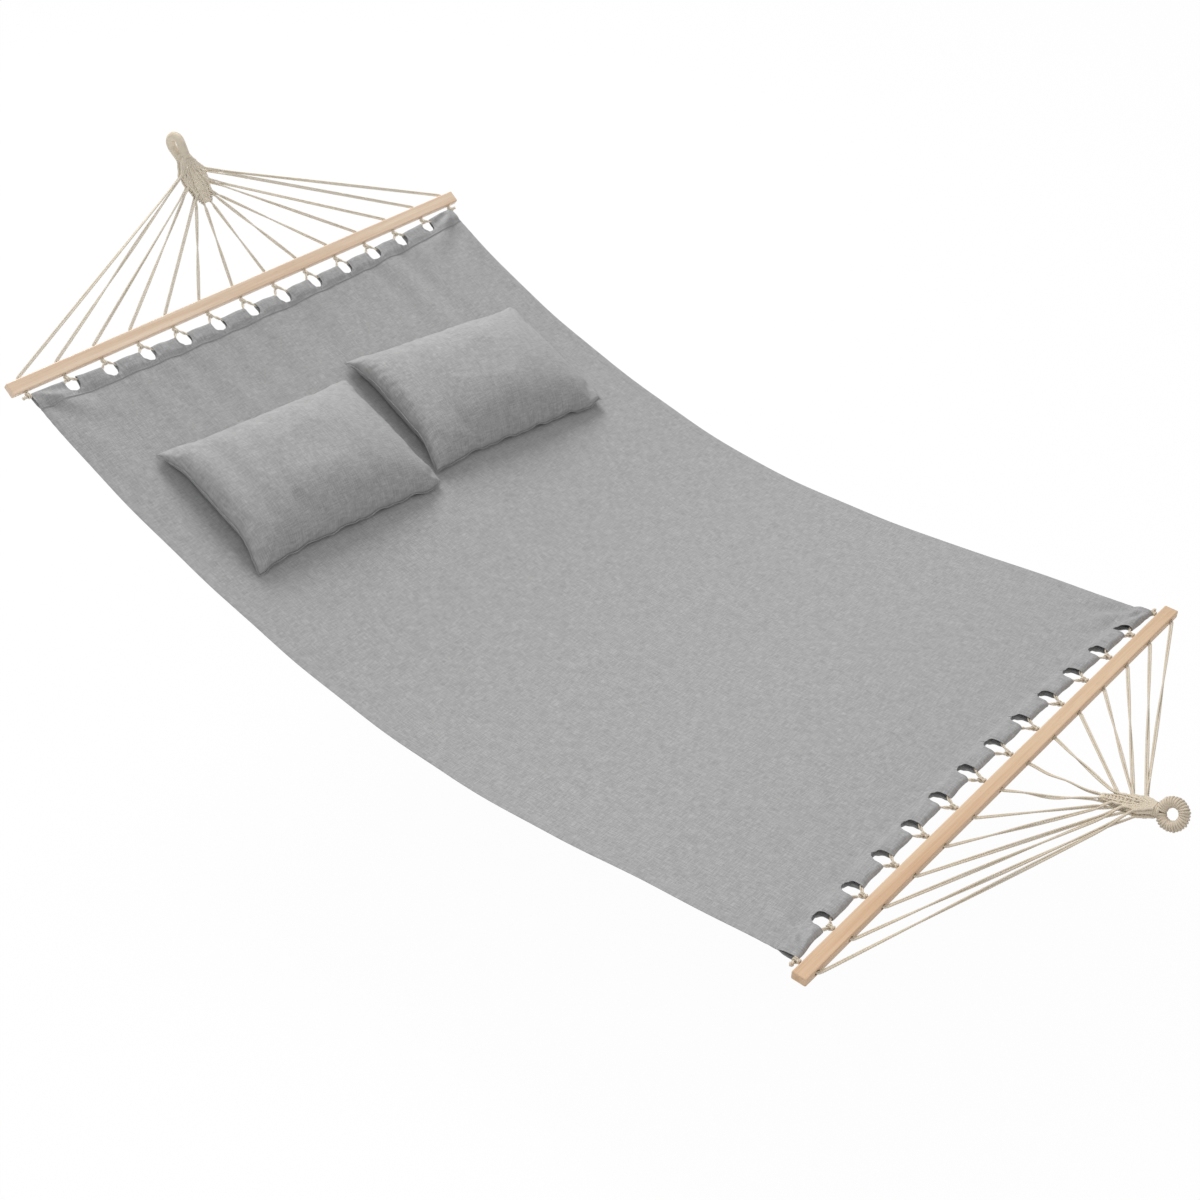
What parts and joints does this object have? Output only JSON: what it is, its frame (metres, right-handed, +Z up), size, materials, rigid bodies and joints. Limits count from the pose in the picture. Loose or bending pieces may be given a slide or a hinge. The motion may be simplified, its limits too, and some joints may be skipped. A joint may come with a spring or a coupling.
{
  "type": "spreader bar hammock",
  "caption": "Canvas hammock held flat by two wooden spreader bars, with fanned cotton cords gathered in a woven clew and a whipped hanging eye at each end, and loose pillows.",
  "frame": {"origin": "the point inside the head eye where a hook bears, with the hammock hanging", "axes": "+X from the head end to the foot end, +Y across the cloth, +Z up"},
  "size_m": [2.8223, 1.433, 0.7631],
  "materials": {
    "canvas": "matte woven canvas",
    "beech": "satin",
    "cotton_cord": "matte twisted cord",
    "whipping_cord": "matte wound cord",
    "fibre_filling": "matte"
  },
  "bodies": {
    "hanging_eyes": {"head_eye_core": "cotton_cord", "head_eye_whipping": "whipping_cord", "foot_eye_core": "cotton_cord", "foot_eye_whipping": "whipping_cord"},
    "hammock": {"bed_cloth": "canvas", "head_hem": "canvas", "foot_hem": "canvas", "head_nexus": "cotton_cord", "foot_nexus": "cotton_cord", "head_header_rope": "cotton_cord", "foot_header_rope": "cotton_cord", "head_cord_01": "cotton_cord", "head_cord_02": "cotton_cord", "head_cord_03": "cotton_cord", "head_cord_04": "cotton_cord", "head_cord_05": "cotton_cord", "head_cord_06": "cotton_cord", "head_cord_07": "cotton_cord", "head_cord_08": "cotton_cord", "head_cord_09": "cotton_cord", "head_cord_10": "cotton_cord", "head_cord_11": "cotton_cord", "head_cord_12": "cotton_cord", "head_cord_13": "cotton_cord", "head_cord_14": "cotton_cord", "foot_cord_01": "cotton_cord", "foot_cord_02": "cotton_cord", "foot_cord_03": "cotton_cord", "foot_cord_04": "cotton_cord", "foot_cord_05": "cotton_cord", "foot_cord_06": "cotton_cord", "foot_cord_07": "cotton_cord", "foot_cord_08": "cotton_cord", "foot_cord_09": "cotton_cord", "foot_cord_10": "cotton_cord", "foot_cord_11": "cotton_cord", "foot_cord_12": "cotton_cord", "foot_cord_13": "cotton_cord", "foot_cord_14": "cotton_cord"},
    "head_bar": {"head_bar": "beech"},
    "foot_bar": {"foot_bar": "beech"},
    "left_pillow": {"left_pillow_cover": "canvas", "left_pillow_filling": "fibre_filling"},
    "right_pillow": {"right_pillow_cover": "canvas", "right_pillow_filling": "fibre_filling"}
  },
  "joints": [
    {"name": "swing", "type": "hinge", "parent": "hanging_eyes", "child": "hammock", "pos_m": [0, 0, 0], "axis": [0.9772, 0, -0.2125], "range_deg": [-30, 30]},
    {"name": "head_bar_roll", "type": "hinge", "parent": "hammock", "child": "head_bar", "pos_m": [0.23811, 0, -0.31324], "axis": [0, 1, 0], "range_deg": [-8, 8], "stiffness_Nm_per_rad": 2},
    {"name": "foot_bar_roll", "type": "hinge", "parent": "hammock", "child": "foot_bar", "pos_m": [2.42797, 0, -0.69103], "axis": [0, 1, 0], "range_deg": [-8, 8], "stiffness_Nm_per_rad": 2},
    {"name": "left_pillow_lift", "type": "slide", "parent": "hammock", "child": "left_pillow", "axis": [0.3548, 0, 0.9349], "range_m": [0, 0.3]},
    {"name": "right_pillow_lift", "type": "slide", "parent": "hammock", "child": "right_pillow", "axis": [0.3514, 0, 0.9362], "range_m": [0, 0.3]}
  ]
}
